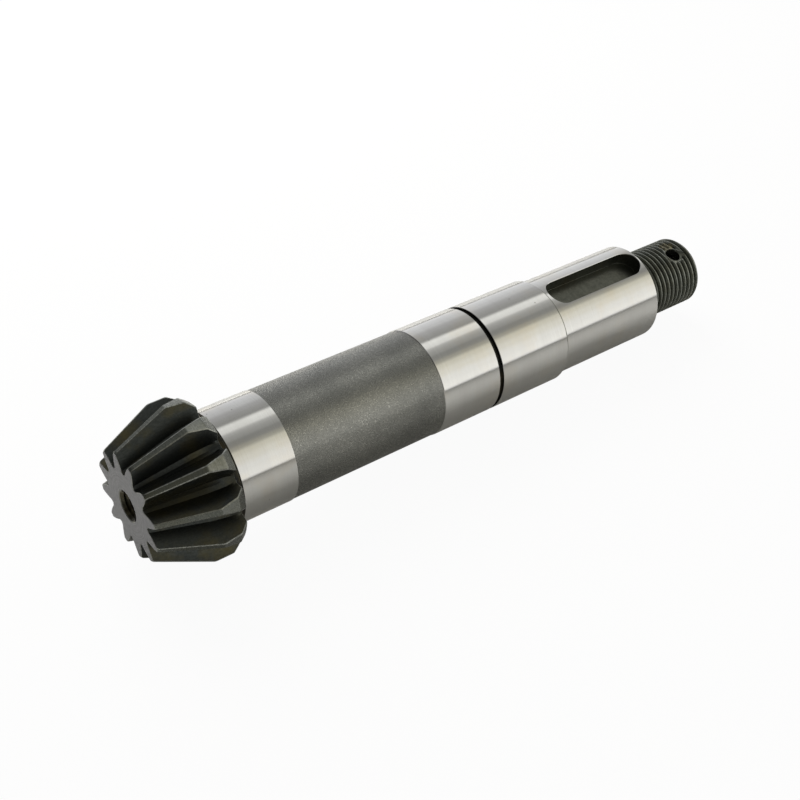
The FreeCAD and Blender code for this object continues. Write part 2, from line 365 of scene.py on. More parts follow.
    def mesh(self, name: str) -> bpy.types.Mesh:
        """Weld the skin, close its last gap and turn it into a mesh in metres.

        Args:
            name: Name of the mesh.

        Returns:
            The mesh, with a surface number on each face.
        """
        made = bpy.data.meshes.new(name)
        made.from_pydata([tuple(c * MM for c in p) for p in self.points], [], self.faces)
        made.polygons.foreach_set("material_index", self.surfaces)
        skin = bmesh.new()
        skin.from_mesh(made)
        bmesh.ops.remove_doubles(skin, verts=skin.verts, dist=self.weld * MM)
        bmesh.ops.dissolve_degenerate(skin, dist=self.sliver * MM, edges=skin.edges)
        bmesh.ops.holes_fill(skin, edges=[edge for edge in skin.edges if edge.is_boundary])
        bmesh.ops.recalc_face_normals(skin, faces=skin.faces)
        skin.to_mesh(made)
        skin.free()
        return made


# ---- sub-assemblies


@dataclass
class TappedHole:
    """The tapped hole in the toe face, with a real thread behind its countersunk mouth."""

    core_radius: float = 4.25
    depth: float = 24.0
    mouth_radius: float = 4.9
    pitch: float = 1.5
    thread_depth: float = 0.62
    threaded_to: float = 9.0
    profile: tuple[float, ...] = (0.0, 0.1, 0.3, 0.5, 0.7, 0.9)
    crest_share: float = 0.08
    flank_share: float = 0.8
    run_in: float = 0.4
    run_in_gap: float = 0.02
    run_out: float = 0.8
    edge: float = 0.22
    countersink_half_angle: float = 30.0
    point_half_angle: float = 59.0

    def radius_at(self, place: Triple) -> float:
        """Radius of the tapped wall, cut outward from the core between its crests.

        Args:
            place: Station, place along one pitch, and angle.

        Returns:
            Radius in millimetres.
        """
        station, lead, _ = place
        away = abs(lead / self.pitch - 0.5) * 2
        cut = self.thread_depth * unit((1 - away - self.crest_share) / self.flank_share)
        fade_out = unit((self.threaded_to - station) / self.run_out)
        fade_in = unit((station - self.mouth_depth() - self.run_in_gap) / self.run_in)
        return self.core_radius + cut * fade_out * fade_in

    def mouth_depth(self) -> float:
        """How far the countersink reaches into the hole."""
        return cone_length(self.mouth_radius - self.core_radius, self.countersink_half_angle)

    def build(self, skin: Skin) -> None:
        """Grow the hole from its drill point out to its mouth.

        Args:
            skin: Skin of the shaft, not begun yet.
        """
        # The hole's walls and countersink get the bore's dark colour, which is painted shade.
        skin.pole(self.depth + cone_length(self.core_radius, self.point_half_angle), Surface.BORE)
        skin.rings(Surface.BORE, (self.depth, self.core_radius), (self.threaded_to, self.core_radius))
        skin.helix(self.threaded_to, self.mouth_depth(), self.pitch, self.profile, self.radius_at,
                   lambda place: Surface.BORE)
        skin.rings(Surface.BORE, (self.edge, self.mouth_radius - self.edge / 2))
        skin.rings(Surface.END, (0.0, self.mouth_radius + self.edge / 2))


@dataclass
class PinionTeeth:
    """The bevel teeth, which taper to one apex in front of the toe face, and the collar behind them."""

    count: int = 12
    apex_distance: float = 37.5
    root_apex_distance: float = 35.0
    toe_tip_radius: float = 16.7
    crown_radius: float = 24.2
    crown_width: float = 5.3
    back_cone_width: float = 2.75
    back_cone_drop: float = 2.1
    collar_length: float = 1.16
    collar_edge: float = 0.08
    shoulder_radius: float = 19.1
    shoulder_clearance: float = 0.02
    floor_height: float = 11.25
    foot_height: float = 11.75
    foot_half: float = 0.85
    mouth_half: float = 4.98
    overrun: float = 0.9
    flank_radius: float = 15.15
    worn_edge: float = 0.16
    worn_flank_share: float = 0.3
    worn_land_share: float = 0.4
    toe_edge: float = 0.14
    heel_edge: float = 0.12
    toe_round: float = 0.4
    toe_round_slope: float = 0.9
    toe_round_reach: float = 0.32
    crown_start_round: float = 0.35
    crown_end_round: float = 0.35
    steps: int = 10
    step_crowding: float = 0.85
    floor_points: int = 20
    flank_points: int = 60
    toe_rings: Triple = (0.3, 0.6, 0.85)
    toe_rings_gap: float = 0.6
    toe_rows: Triple = (0.3, 0.5, 0.8)
    face_rows_from: float = 1.5
    face_rows: int = 9
    round_rows: int = 8
    round_rows_from: float = -0.75
    plain_rows: int = 5

    def half_space(self, station: float) -> tuple[np.ndarray, np.ndarray, np.ndarray]:
        """Draw half of a tooth space at one station, from its root to past the tips of the teeth.

        Args:
            station: Place along the axis.

        Returns:
            Length along the line, radius and angle from the middle of the space, point by point.
        """
        scale = 1 + station / self.apex_distance
        low = self.floor_height * (1 + station / self.root_apex_distance)
        foot = np.array([self.foot_half, self.foot_height]) * scale
        mouth = np.array([self.mouth_half, self.toe_tip_radius + self.overrun]) * scale
        rise = foot[1] - low
        root = (foot[0] ** 2 + rise ** 2) / (2 * rise)
        turns = np.linspace(0, math.asin(min(foot[0] / root, 1.0)), self.floor_points)
        floor = np.column_stack([root * np.sin(turns), low + root - root * np.cos(turns)])
        chord = mouth - foot
        half = float(np.hypot(*chord)) / 2
        flank_radius = self.flank_radius * scale
        offset = math.sqrt(flank_radius ** 2 - half ** 2)
        middle = (foot + mouth) / 2 + np.array([chord[1], -chord[0]]) / (2 * half) * offset
        begin = math.atan2(*(foot - middle)[::-1])
        finish = math.atan2(*(mouth - middle)[::-1])
        turns = np.linspace(begin, finish, self.flank_points)
        flank = middle + flank_radius * np.column_stack([np.cos(turns), np.sin(turns)])
        line = np.vstack([floor, flank[1:]])
        length = np.concatenate([[0], np.cumsum(np.hypot(*np.diff(line, axis=0).T))])
        return length, np.hypot(line[:, 0], line[:, 1]), np.degrees(np.arctan2(line[:, 0], line[:, 1]))

    def crown_start(self) -> float:
        """Station where the face cone meets the turned crown."""
        return (self.crown_radius / self.toe_tip_radius - 1) * self.apex_distance

    def crown_end(self) -> float:
        """Station where the crown meets the back cone."""
        return self.crown_start() + self.crown_width

    def heel(self) -> float:
        """Station of the flat heel of the teeth."""
        return self.crown_end() + self.back_cone_width

    def back(self) -> float:
        """Station of the bearing shoulder."""
        return self.heel() + self.collar_length

    def envelope(self, station: float) -> float:
        """Radius of the turned blank that the teeth are cut into, with its corners worn round.

        Args:
            station: Place along the axis.

        Returns:
            Radius in millimetres.
        """
        face = self.toe_tip_radius / self.apex_distance
        steep = face + self.toe_round_slope
        radius = self.toe_tip_radius + face * self.toe_round + steep * (station - self.toe_round)
        corners = ((self.toe_round, face - steep, self.toe_round_reach),
                   (self.crown_start(), -face, self.crown_start_round),
                   (self.crown_end(), -self.back_cone_drop / self.back_cone_width, self.crown_end_round))
        for corner, turn, reach in corners:
            past = station - corner
            if past >= reach:
                radius += turn * past
            elif past > -reach:
                radius += turn * (past + reach) ** 2 / (4 * reach)
        return radius

    def outline(self, station: float) -> tuple[np.ndarray, np.ndarray]:
        """Outline of all teeth across one station.

        Args:
            station: Place along the axis.

        Returns:
            Radius and angle of each point, from the middle of the first tooth space.
        """
        worn = self.worn_edge * (1 + station / self.apex_distance)
        limit = self.envelope(station)
        length, radius, angle = self.half_space(station)
        reach = float(np.interp(limit, radius, length))
        tip = float(np.interp(reach, length, angle))
        land = 180 / self.count - tip
        ease = min(worn, reach * self.worn_flank_share)
        ease_land = min(math.degrees(worn / limit), land * self.worn_land_share)
        spread = np.linspace(0, 1, self.steps - 2) ** self.step_crowding * (reach - ease)
        radii = list(np.interp(spread, length, radius)) + [limit] * 3
        turns = list(np.interp(spread, length, angle))
        turns += [tip + ease_land + (land - ease_land) * part for part in (0.0, 0.5, 1.0)]
        radii += radii[-2:0:-1]
        turns += [360 / self.count - t for t in turns[-2:0:-1]]
        ring = np.tile(np.minimum(radii, limit), self.count)
        return ring, np.concatenate([np.array(turns) + 360 / self.count * k for k in range(self.count)])

    def inset(self, station: float, amount: float) -> tuple[np.ndarray, np.ndarray]:
        """Outline of all teeth across one station, drawn in by a small amount all round.

        Args:
            station: Place along the axis.
            amount: How far it goes in, in millimetres.

        Returns:
            Radius and angle of each point of the smaller outline.
        """
        radii, angles = self.outline(station)
        turn = np.radians(angles)
        line = radii * np.exp(1j * turn)
        along = np.roll(line, -1) - np.roll(line, 1)
        inward = 1j * along / np.maximum(np.abs(along), 1e-9)
        smaller = line + inward * amount
        turned = np.degrees(np.angle(smaller * np.exp(-1j * turn)))
        return np.abs(smaller), angles + turned

    def stations(self) -> list[float]:
        """Choose the rings between the toe edge and the heel edge, crowded where the blank bends.

        Returns:
            Their stations.
        """
        first, last = self.crown_start(), self.crown_end()
        found = list(self.toe_rows)
        found += list(np.linspace(self.face_rows_from, first - self.crown_start_round, self.face_rows))
        for corner, reach, end in ((first, self.crown_start_round, last - self.crown_end_round),
                                   (last, self.crown_end_round, self.heel() - self.heel_edge)):
            found += list(corner + reach * np.linspace(self.round_rows_from, 1, self.round_rows))
            found += list(np.linspace(corner + reach, end, self.plain_rows)[1:])
        return found

    def build(self, skin: Skin) -> None:
        """Grow the toe face, the teeth, their heel and the collar.

        Args:
            skin: Skin of the shaft, ending at the mouth of the tapped hole.
        """
        radii, angles = self.inset(self.toe_edge, self.toe_edge)
        _, start = skin.reached()
        even = skin.even_angles()
        for part in self.toe_rings:
            radius = start + (self.floor_height - self.toe_rings_gap - start) * part
            skin.ring(0.0, radius, Surface.TOE, even + (angles - even) * part)
        skin.ring(0.0, radii, Surface.TOE, angles)
        radii, angles = self.outline(self.toe_edge)
        skin.ring(self.toe_edge, radii, Surface.RUBBED, angles)
        flank = [Surface.FLANK] * (self.steps - 3)
        for station in self.stations():
            radii, angles = self.outline(station)
            # The face-cone lands get a darker copy of the crown's steel: painted shade on the face cone.
            land = [Surface.CROWN if station > self.crown_start() else Surface.LAND] * 4
            tooth = [*flank, Surface.RUBBED, *land, Surface.RUBBED, *flank]
            skin.ring(station, radii, tooth * self.count, angles)
        radii, angles = self.inset(self.heel() - self.heel_edge, self.heel_edge)
        radii = np.maximum(radii, self.shoulder_radius + self.shoulder_clearance)
        skin.ring(self.heel(), radii, Surface.RUBBED, angles)
        skin.ring(self.heel(), self.shoulder_radius, Surface.FLANK, angles)
        # The collar is coloured near black: painted shade between the heel of the teeth and the shoulder.
        skin.rings(Surface.COLLAR, (self.back() - self.collar_edge, self.shoulder_radius),
                   (self.back(), self.shoulder_radius - self.collar_edge))


@dataclass
class GroundShank:
    """The ground seats, the dark middle and the retaining ring groove."""

    start: float
    seat_radius: float = 17.5
    relief_width: float = 1.1
    relief_depth: float = 0.3
    relief_lip: float = 0.08
    front_seat: float = 18.95
    middle: float = 53.6
    middle_clearance: float = 0.2
    rear_seat: float = 21.9
    groove_width: float = 1.6
    groove_radius: float = 16.5
    land: float = 27.7
    edge: float = 0.5
    small_edge: float = 0.1

    def front_seat_end(self) -> float:
        """Station where the front seat ends."""
        return self.start + self.front_seat

    def front_seat_middle(self) -> float:
        """Station of the middle of the front seat, where its mount is."""
        return (self.start + self.relief_width + self.front_seat_end() - self.middle_clearance) / 2

    def middle_end(self) -> float:
        """Station where the dark middle ends."""
        return self.front_seat_end() + self.middle

    def groove_start(self) -> float:
        """Station of the groove's first wall."""
        return self.middle_end() + self.rear_seat

    def step(self) -> float:
        """Station of the step down to the hub seat."""
        return self.groove_start() + self.groove_width + self.land

    def build(self, skin: Skin) -> None:
        """Grow the shank from the shoulder to the step.

        Args:
            skin: Skin of the shaft, ending at the rim of the bearing shoulder.
        """
        seat, root, edge, lip = self.seat_radius, self.groove_radius, self.small_edge, self.relief_lip
        floor, low = seat - self.relief_depth, seat - self.middle_clearance
        relief = self.start + self.relief_width
        # The relief gets the grooves' dark steel, which also stands in for the shade under the shoulder.
        skin.rings(Surface.GROOVE, (self.start, floor + edge), (self.start + edge, floor),
                   (relief - 2 * edge, floor))
        skin.rings(Surface.GROUND, (relief, seat - lip), (relief + lip, seat))
        skin.cylinder(self.front_seat_end() - self.middle_clearance, Surface.GROUND)
        skin.rings(Surface.GROUND, (self.front_seat_end(), low))
        skin.cylinder(self.middle_end(), Surface.HARDENED)
        skin.rings(Surface.GROUND, (self.middle_end() + self.middle_clearance, seat))
        near = self.groove_start()
        far = near + self.groove_width
        skin.cylinder(near - edge, Surface.GROUND)
        skin.rings(Surface.GROUND, (near, seat - edge))
        skin.rings(Surface.GROOVE, (near, root + edge), (near + edge, root), (far - edge, root),
                   (far, root + edge), (far, seat - edge))
        skin.rings(Surface.GROUND, (far + edge, seat))
        skin.cylinder(self.step() - self.edge, Surface.GROUND)
        skin.rings(Surface.GROUND, (self.step(), seat - self.edge))


@dataclass
class HubSeat:
    """The keyed seat, with its keyway and the undercut behind it."""

    start: float
    radius: float = 16.35
    length: float = 42.9
    edge: float = 0.5
    step_fillet: float = 0.12
    turned_corner: float = 0.78
    ring_spacing: float = 0.97
    keyway_width: float = 10.0
    keyway_length: float = 40.0
    keyway_depth: float = 5.0
    keyway_gap: float = 1.9
    keyway_angle: float = 15.0
    keyway_edge: float = 0.16
    keyway_fillet: float = 0.04
    cutter_flare: float = 1.2
    arc_points: int = 33
    undercut_radius: float = 10.5
    undercut_length: float = 4.5
    undercut_fillet: float = 0.3

    def end(self) -> float:
        """Station of the seat's end face."""
        return self.start + self.length

    def build(self, skin: Skin) -> None:
        """Grow the seat, its end face and the undercut.

        Args:
            skin: Skin of the shaft, ending at the edge of the step.
        """
        start, end, radius = self.start, self.end(), self.radius
        skin.rings(Surface.GROUND, (start, radius + self.step_fillet))
        skin.rings(Surface.END, (start + self.step_fillet, radius), (start + self.turned_corner, radius))
        skin.cylinder(end - self.edge, Surface.GROUND, self.ring_spacing)
        skin.rings(Surface.GROUND, (end, radius - self.edge))
        floor, fillet = self.undercut_radius, self.undercut_fillet
        skin.rings(Surface.THREAD, (end, floor + fillet), (end + fillet, floor))

    def keyway_cutter(self) -> bpy.types.Mesh:
        """Make the end mill's whole path, flared where it breaks the edge of the keyway.

        Returns:
            A closed mesh that is the room the keyway takes.
        """
        half = self.keyway_width / 2
        first = self.start + self.keyway_gap + half
        last = self.start + self.keyway_gap + self.keyway_length - half
        arc = np.radians(np.linspace(-90, 90, self.arc_points))
        outline = [(last + half * math.cos(a), half * math.sin(a)) for a in arc]
        outline += [(x, half) for x in np.linspace(last, first, self.arc_points - 1)[1:-1]]
        outline += [(first - half * math.cos(a), half * math.sin(a)) for a in arc[::-1]]
        outline += [(x, -half) for x in np.linspace(first, last, self.arc_points - 1)[1:-1]]

        def loop(grow: float, height: Callable[[float], float]) -> list[Triple]:
            """Draw one level of the cutter.

            Args:
                grow: How far it lies outside the keyway's outline.
                height: Gives the height from the place across the keyway.

            Returns:
                The level's points.
            """
            points = []
            for x, w in outline:
                middle = min(max(x, first), last)
                reach = math.hypot(x - middle, w)
                share = (reach + grow) / reach
                points.append((middle + (x - middle) * share, w * share, height(w)))
            return points

        def rim(w: float) -> float:
            """Height where the wall of the keyway meets its broken edge."""
            return math.sqrt(self.radius ** 2 - w ** 2) - self.keyway_edge

        floor, fillet, flare = self.radius - self.keyway_depth, self.keyway_fillet, self.cutter_flare
        levels = [loop(-fillet, lambda w: floor), loop(0.0, lambda w: floor + fillet), loop(0.0, rim),
                  loop(flare, lambda w: rim(w) + flare)]
        surfaces = [Surface.KEYWAY_FLOOR, Surface.KEYWAY_WALL, Surface.KEYWAY_WALL, Surface.GROUND,
                    Surface.GROUND]
        return cutter_mesh("keyway_cutter", levels, surfaces, self.keyway_angle)


@dataclass
class NutThread:
    """The threaded end with its split pin hole, its chamfer and the turning centre."""

    start: float
    end: float
    radius: float = 11.85
    root_radius: float = 10.5
    depth: float = 1.227
    root_line: float = 11.1
    pitch: float = 2.0
    profile: tuple[float, ...] = (0.0, 0.07, 0.135, 0.26, 0.38, 0.42, 0.58, 0.62, 0.74, 0.865, 0.93)
    # Half of the thread's profile: place from the middle of the crest, and share of the depth there.
    flank_places: tuple[float, ...] = (0.08, 0.12, 0.365, 0.43, 0.5)
    flank_depths: tuple[float, ...] = (0.0, 0.04, 0.93, 0.985, 1.0)
    chamfer: float = 1.6
    pin_hole_radius: float = 2.6
    pin_hole_setback: float = 7.8
    pin_hole_angle: float = 20.0
    # Growth of the worn mouth along the slant, across it and to one side.
    pin_hole_wear: Triple = (1.05, 0.15, 0.4)
    pin_hole_spread: float = 1.6
    pin_hole_run_out: float = 1.1
    pin_hole_level: float = 11.4
    pin_hole_points: int = 64
    flare_depth: float = 0.5
    flare_height: float = 1.0
    flare_growth: float = 3.0
    end_rings: Pair = (0.35, 0.7)
    centre_radius: float = 2.0
    centre_depth: float = 9.0
    centre_mouth: float = 4.2
    countersink_half_angle: float = 30.0
    point_half_angle: float = 59.0
    bruise_station: float = 211.6
    bruise_angle: float = -3.0
    bruise_depth: float = 0.4
    bruise_size: Pair = (3.0, 11.0)
    bruise_waves: Pair = (0.35, 5.0)
    bruise_furrow: float = 0.25

    def radius_at(self, place: Triple) -> float:
        """Radius of the thread: rounded root, straight flanks, flat crest, cut off by both chamfers.

        Args:
            place: Station, place along one pitch, and angle.

        Returns:
            Radius in millimetres.
        """
        station, lead, angle = place
        sunk = float(np.interp(abs(lead / self.pitch - 0.5), self.flank_places, self.flank_depths))
        radius = self.radius - self.depth * sunk
        spot = self.bruise(station, angle)
        if spot < 1:
            height, pace = self.bruise_waves
            wave = 1 + height * math.sin(station * pace + angle)
            flat = self.radius - self.bruise_depth * (1 - spot) * wave
            radius = min(radius, flat) + self.bruise_furrow * (1 - spot) * sunk
        side = (angle - self.pin_hole_angle + 90) % 180 - 90
        away = math.hypot(station - self.end + self.pin_hole_setback, math.radians(side) * self.radius)
        share = unit((self.pin_hole_radius + self.pin_hole_spread - away) / self.pin_hole_run_out)
        radius += (self.pin_hole_level - radius) * share
        lead_in = self.root_radius + station - self.start
        lead_out = self.radius - self.chamfer + self.end - station
        return min(radius, lead_in, lead_out)

    def surface_at(self, place: Triple) -> Surface:
        """Surface of the thread: bruised crests beside the pin hole, painted shade in the root, steel
        elsewhere.

        Args:
            place: Station, radius and angle.

        Returns:
            The surface of the face that starts there.
        """
        station, radius, angle = place
        if self.bruise(station, angle) < 1:
            return Surface.BRUISED
        return Surface.ROOT if radius < self.root_line else Surface.THREAD

    def bruise(self, station: float, angle: float) -> float:
        """How far a place is from the middle of the bruised crests.

        Args:
            station: Place along the axis.
            angle: Angle round the axis.

        Returns:
            Nought in the middle, one at the rim, and more outside.
        """
        turn = (angle - self.bruise_angle + 180) % 360 - 180
        along, across = self.bruise_size
        return ((station - self.bruise_station) / along) ** 2 + (turn / across) ** 2

    def build(self, skin: Skin) -> None:
        """Grow the thread, the end face and the turning centre.

        Args:
            skin: Skin of the shaft, ending at the undercut.
        """
        skin.rings(Surface.THREAD, (self.start, self.root_radius))
        skin.helix(self.start, self.end, self.pitch, self.profile, self.radius_at, self.surface_at)
        outer, mouth, core = self.radius - self.chamfer, self.centre_mouth, self.centre_radius
        for part in (0.0, *self.end_rings, 1.0):
            skin.rings(Surface.END, (self.end, outer + (mouth - outer) * part))
        skin.rings(Surface.END, (self.end - cone_length(mouth - core, self.countersink_half_angle), core))
        bottom = self.end - self.centre_depth
        skin.rings(Surface.BORE, (bottom, core))
        skin.pole(bottom - cone_length(core, self.point_half_angle), Surface.BORE)

    def pin_hole_cutter(self) -> bpy.types.Mesh:
        """Make the drill's whole path through the thread, flared aslant where its two mouths are worn.

        Returns:
            A closed mesh that is the room the hole takes.
        """
        turns = np.radians(np.arange(self.pin_hole_points) * 360 / self.pin_hole_points)
        station, diagonal = self.end - self.pin_hole_setback, math.sqrt(0.5)
        long, short, aside = self.pin_hole_wear
        low, high = self.pin_hole_level - self.flare_depth, self.pin_hole_level + self.flare_height
        levels = []
        for height, grow in ((-high, self.flare_growth), (-low, 0.0), (0.0, 0.0), (low, 0.0),
                             (high, self.flare_growth)):
            first = [(self.pin_hole_radius + grow * long) * math.cos(t) + grow * aside for t in turns]
            second = [(self.pin_hole_radius + grow * short) * math.sin(t) for t in turns]
            levels.append([(station + diagonal * (a - b), -diagonal * (a + b), height)
                           for a, b in zip(first, second)])
        return cutter_mesh("pin_hole_cutter", levels, [Surface.KEYWAY_WALL] * 6, self.pin_hole_angle)


def cutter_mesh(name: str, levels: list[list[Triple]], surfaces: Sequence[Surface],
                angle: float) -> bpy.types.Mesh:
    """Close a stack of loops into one solid that is cut out of the shaft.

    Args:
        name: Name of the mesh.
        levels: Loops from the bottom up, in millimetres, upright.
        surfaces: Surfaces from the bottom up: bottom face, bands between the loops, top face.
        angle: Turn of the upright cutter to its place round the axis, in degrees.

    Returns:
        The mesh in metres.
    """
    solid = bmesh.new()
    lean = Matrix.Rotation(math.radians(angle), 4, "X")
    loops = [[solid.verts.new(lean @ Vector(p) * MM) for p in level] for level in levels]
    bottom, *bands, top = (int(surface) for surface in surfaces)
    for lower, upper, surface in zip(loops, loops[1:], bands):
        for j in range(len(lower)):
            k = (j + 1) % len(lower)
            solid.faces.new((lower[j], lower[k], upper[k], upper[j])).material_index = surface
    solid.faces.new(loops[0][::-1]).material_index = bottom
    solid.faces.new(loops[-1]).material_index = top
    bmesh.ops.recalc_face_normals(solid, faces=solid.faces)
    made = bpy.data.meshes.new(name)
    solid.to_mesh(made)
    solid.free()
    return made


# ---- finishes


class Places(NamedTuple):
    """Where a point is on the shaft, in millimetres: on its own axes, and how far from the axis."""

    point: Socket
    radius: Socket


class Paint(NamedTuple):
    """What a finish draws: colour, roughness and height."""

    colour: Socket
    gloss: Socket
    height: Socket


@dataclass(frozen=True)
class Finish:
    """A metal finish: its colour and gloss, and the marks that its machine left."""

    name: str
    colour: str
    dark: str
    roughness: float
    anisotropic: float = 0.0
    tone_span: Pair = (0.7, 1.3)
    gloss_span: Pair = (0.6, 1.4)
    rougher: float = 0.06
    smoother: float = 0.06
    relief: float = 0.3
    mark_height: float = 0.00005

    def material(self, lie: Matrix) -> bpy.types.Material:
        """Make the material, with its pattern left to each kind of finish.

        Args:
            lie: Where the shaft lies, from its own axes to the row frame.

        Returns:
            The finished material.
        """
        made = bpy.data.materials.new(self.name)
        made.diffuse_color = linear(self.colour)
        tree = blank(made)
        paint = self.pattern(tree, self.places(tree, lie))
        bump = add(tree, "ShaderNodeBump", {"Height": paint.height, "Strength": self.relief,
                                            "Distance": self.mark_height})
        inputs = {"Metallic": 1.0, "Base Color": paint.colour, "Roughness": paint.gloss,
                  "Normal": bump.outputs[0]}
        if self.anisotropic:
            along = add(tree, "ShaderNodeCombineXYZ", dict(enumerate(lie.col[0][:3])))
            inputs |= {"Anisotropic": self.anisotropic, "Tangent": along.outputs[0]}
        shader = add(tree, "ShaderNodeBsdfPrincipled", inputs)
        add(tree, "ShaderNodeOutputMaterial", {"Surface": shader.outputs[0]})
        return made

    def places(self, tree: Tree, lie: Matrix) -> Places:
        """Work out where a point is on the shaft.

        Args:
            tree: Tree of the material.
            lie: Where the shaft lies.

        Returns:
            The point's places.
        """
        spot = add(tree, "ShaderNodeTexCoord").outputs["Object"]
        own = add(tree, "ShaderNodeMapping", {"Vector": spot, "Location": lie.to_translation(),
                                              "Rotation": lie.to_euler()}, vector_type="TEXTURE")
        point = stretched(tree, own.outputs[0], (1 / MM, 1 / MM, 1 / MM))
        flat = stretched(tree, point, (0, 1, 1))
        radius = add(tree, "ShaderNodeVectorMath", {0: flat}, operation="LENGTH").outputs["Value"]
        return Places(point, radius)

    def base(self, tree: Tree, tone: Socket) -> Socket:
        """Colour from the finish's dark to its light, by tone."""
        return mixed(tree, ranged(tree, tone, self.tone_span), linear(self.dark), linear(self.colour))

    def gloss(self, tree: Tree, tone: Socket) -> Socket:
        """Roughness a little above and below the finish's own, by tone."""
        return ranged(tree, tone, self.gloss_span, self.roughness + self.rougher,
                      self.roughness - self.smoother)

    def pattern(self, tree: Tree, at: Places) -> Paint:
        """Draw the finish's own pattern.

        Args:
            tree: Tree of the material.
            at: Where a point is on the shaft.

        Returns:
            What is drawn.
        """
        raise NotImplementedError


@dataclass(frozen=True)
class GroundSteel(Finish):
    """Alloy steel ground between centres: bright, with fine marks that run round the seat."""

    tone_span: Pair = (1.0, 2.0)
    gloss_span: Pair = (1.1, 1.9)
    rougher: float = 0.03
    smoother: float = 0.02
    relief: float = 0.14
    mark_height: float = 0.00003
    # A grinding wheel leaves marks about 0.02 mm apart, too fine to show. They are drawn 0.2 mm apart.
    mark_spacing: float = 0.2
    mark_run: float = 0.03
    band_stretch: float = 0.22
    stain: str = "#C6BEAF"
    stain_size: float = 14.0
    stain_span: Pair = (0.5, 0.68)
    stain_share: float = 0.4
    speck: str = "#3A342B"
    speck_spacing: float = 3.2
    speck_from: float = 0.86
    speck_rim: Pair = (0.03, 0.07)

    def pattern(self, tree: Tree, at: Places) -> Paint:
        """Draw the grinding marks, faint stains and tiny dark specks.

        Args:
            tree: Tree of the material.
            at: Where a point is on the shaft.

        Returns:
            What is drawn.
        """
        run = self.mark_run
        lines = stretched(tree, at.point, (1 / self.mark_spacing, run, run))
        marks = noise(tree, lines, 1.0, detail=3.0, roughness=0.6)
        bands = noise(tree, stretched(tree, at.point, (self.band_stretch, run, run)), 1.0)
        stains = noise(tree, at.point, 1 / self.stain_size, detail=4.0, roughness=0.65)
        tone = maths(tree, "ADD", maths(tree, "ADD", marks, bands), stains)
        warm = ranged(tree, stains, self.stain_span, 0.0, self.stain_share)
        stained = mixed(tree, warm, self.base(tree, tone), linear(self.stain))
        pick, away = cells(tree, at.point, self.speck_spacing)
        few = maths(tree, "GREATER_THAN", pick, self.speck_from)
        speck = maths(tree, "MULTIPLY", few, ranged(tree, away, self.speck_rim, 1.0, 0.0), use_clamp=True)
        return Paint(mixed(tree, speck, stained, linear(self.speck)), self.gloss(tree, tone), marks)


@dataclass(frozen=True)
class HardenedSteel(Finish):
    """Steel left dark from its heat treatment: a fine grain with painted glints over a smoky grey."""

    gloss_span: Pair = (0.0, 1.0)
    rougher: float = 0.05
    relief: float = 0.7
    # The scale's crystals are about 0.05 mm. They are drawn 0.22 mm across, which is enough to catch the
    # light; the brightest of them get painted glints.
    grain: float = 0.22
    fine_grain: float = 0.286
    cloud_size: float = 24.0
    cloud_span: Pair = (0.32, 0.62)
    painted_glint: str = "#C6C5BC"
    painted_glint_share: float = 0.42
    painted_glint_power: float = 5.0

    def pattern(self, tree: Tree, at: Places) -> Paint:
        """Draw the grain, painted glints on its brightest cells, and the smoky clouds under it.

        Args:
            tree: Tree of the material.
            at: Where a point is on the shaft.

        Returns:
            What is drawn.
        """
        spark, _ = cells(tree, at.point, self.grain)
        cloud = noise(tree, at.point, 1 / self.cloud_size, detail=5.0, roughness=0.6)
        fine = noise(tree, at.point, 1 / self.fine_grain, detail=3.0, roughness=0.7)
        base = self.base(tree, maths(tree, "ADD", cloud, fine))
        # Painted glints: the brightest grain cells get a light colour, more of them where the cloud is
        # high.
        share = ranged(tree, cloud, self.cloud_span, 0.0, self.painted_glint_share)
        bright = maths(tree, "MULTIPLY", maths(tree, "POWER", spark, self.painted_glint_power), share)
        colour = mixed(tree, bright, base, linear(self.painted_glint))
        return Paint(colour, self.gloss(tree, spark), maths(tree, "ADD", fine, spark))


@dataclass(frozen=True)
class CutSteel(Finish):
    """Case-hardened steel as the cutter left it: dark, with marks along or round the shaft."""

    rougher: float = 0.08
    smoother: float = 0.08
    relief: float = 0.35
    # Feed marks of the cutter are about 0.1 mm apart. They are drawn as wide as they need to be to show.
    mark_stretch: Triple = (0.06, 1.6, 1.6)
    mark_scale: float = 1.6
    grain_scale: float = 1.8
    tint: str = "#5A5138"
    tint_share: float = 0.5
    tint_size: float = 7.0
    tint_span: Pair = (0.45, 0.7)

    def pattern(self, tree: Tree, at: Places) -> Paint:
        """Draw the cutter's marks and the brown tints of the heat treatment.

        Args:
            tree: Tree of the material.
            at: Where a point is on the shaft.

        Returns:
            What is drawn.
        """
        lines = stretched(tree, at.point, self.mark_stretch)
        marks = noise(tree, lines, self.mark_scale, detail=5.0, roughness=0.6)
        tone = maths(tree, "ADD", marks, noise(tree, at.point, self.grain_scale, detail=3.0))
        cloud = noise(tree, at.point, 1 / self.tint_size, detail=4.0, roughness=0.6)
        patch = ranged(tree, cloud, self.tint_span, 0.0, self.tint_share)
        colour = mixed(tree, patch, self.base(tree, tone), linear(self.tint))
        return Paint(colour, self.gloss(tree, tone), marks)


@dataclass(frozen=True)
class FacedSteel(Finish):
    """A face cut on the lathe: grey, with rings left by the tool round the axis."""

    feed: float = 0.35
    mottle_scale: float = 0.9

    def pattern(self, tree: Tree, at: Places) -> Paint:
        """Draw the lathe tool's rings and a mottled grey.

        Args:
            tree: Tree of the material.
            at: Where a point is on the shaft.

        Returns:
            What is drawn.
        """
        turn = maths(tree, "MULTIPLY", at.radius, 1 / self.feed)
        rings = add(tree, "ShaderNodeTexNoise", {"W": turn, "Scale": 1.0}, noise_dimensions="1D")
        mottle = noise(tree, at.point, self.mottle_scale, detail=6.0, roughness=0.65)
        tone = maths(tree, "ADD", rings.outputs[0], mottle)
        return Paint(self.base(tree, tone), self.gloss(tree, tone), rings.outputs[0])


ROUND_THE_SHAFT: Triple = (1.6, 0.06, 0.06)


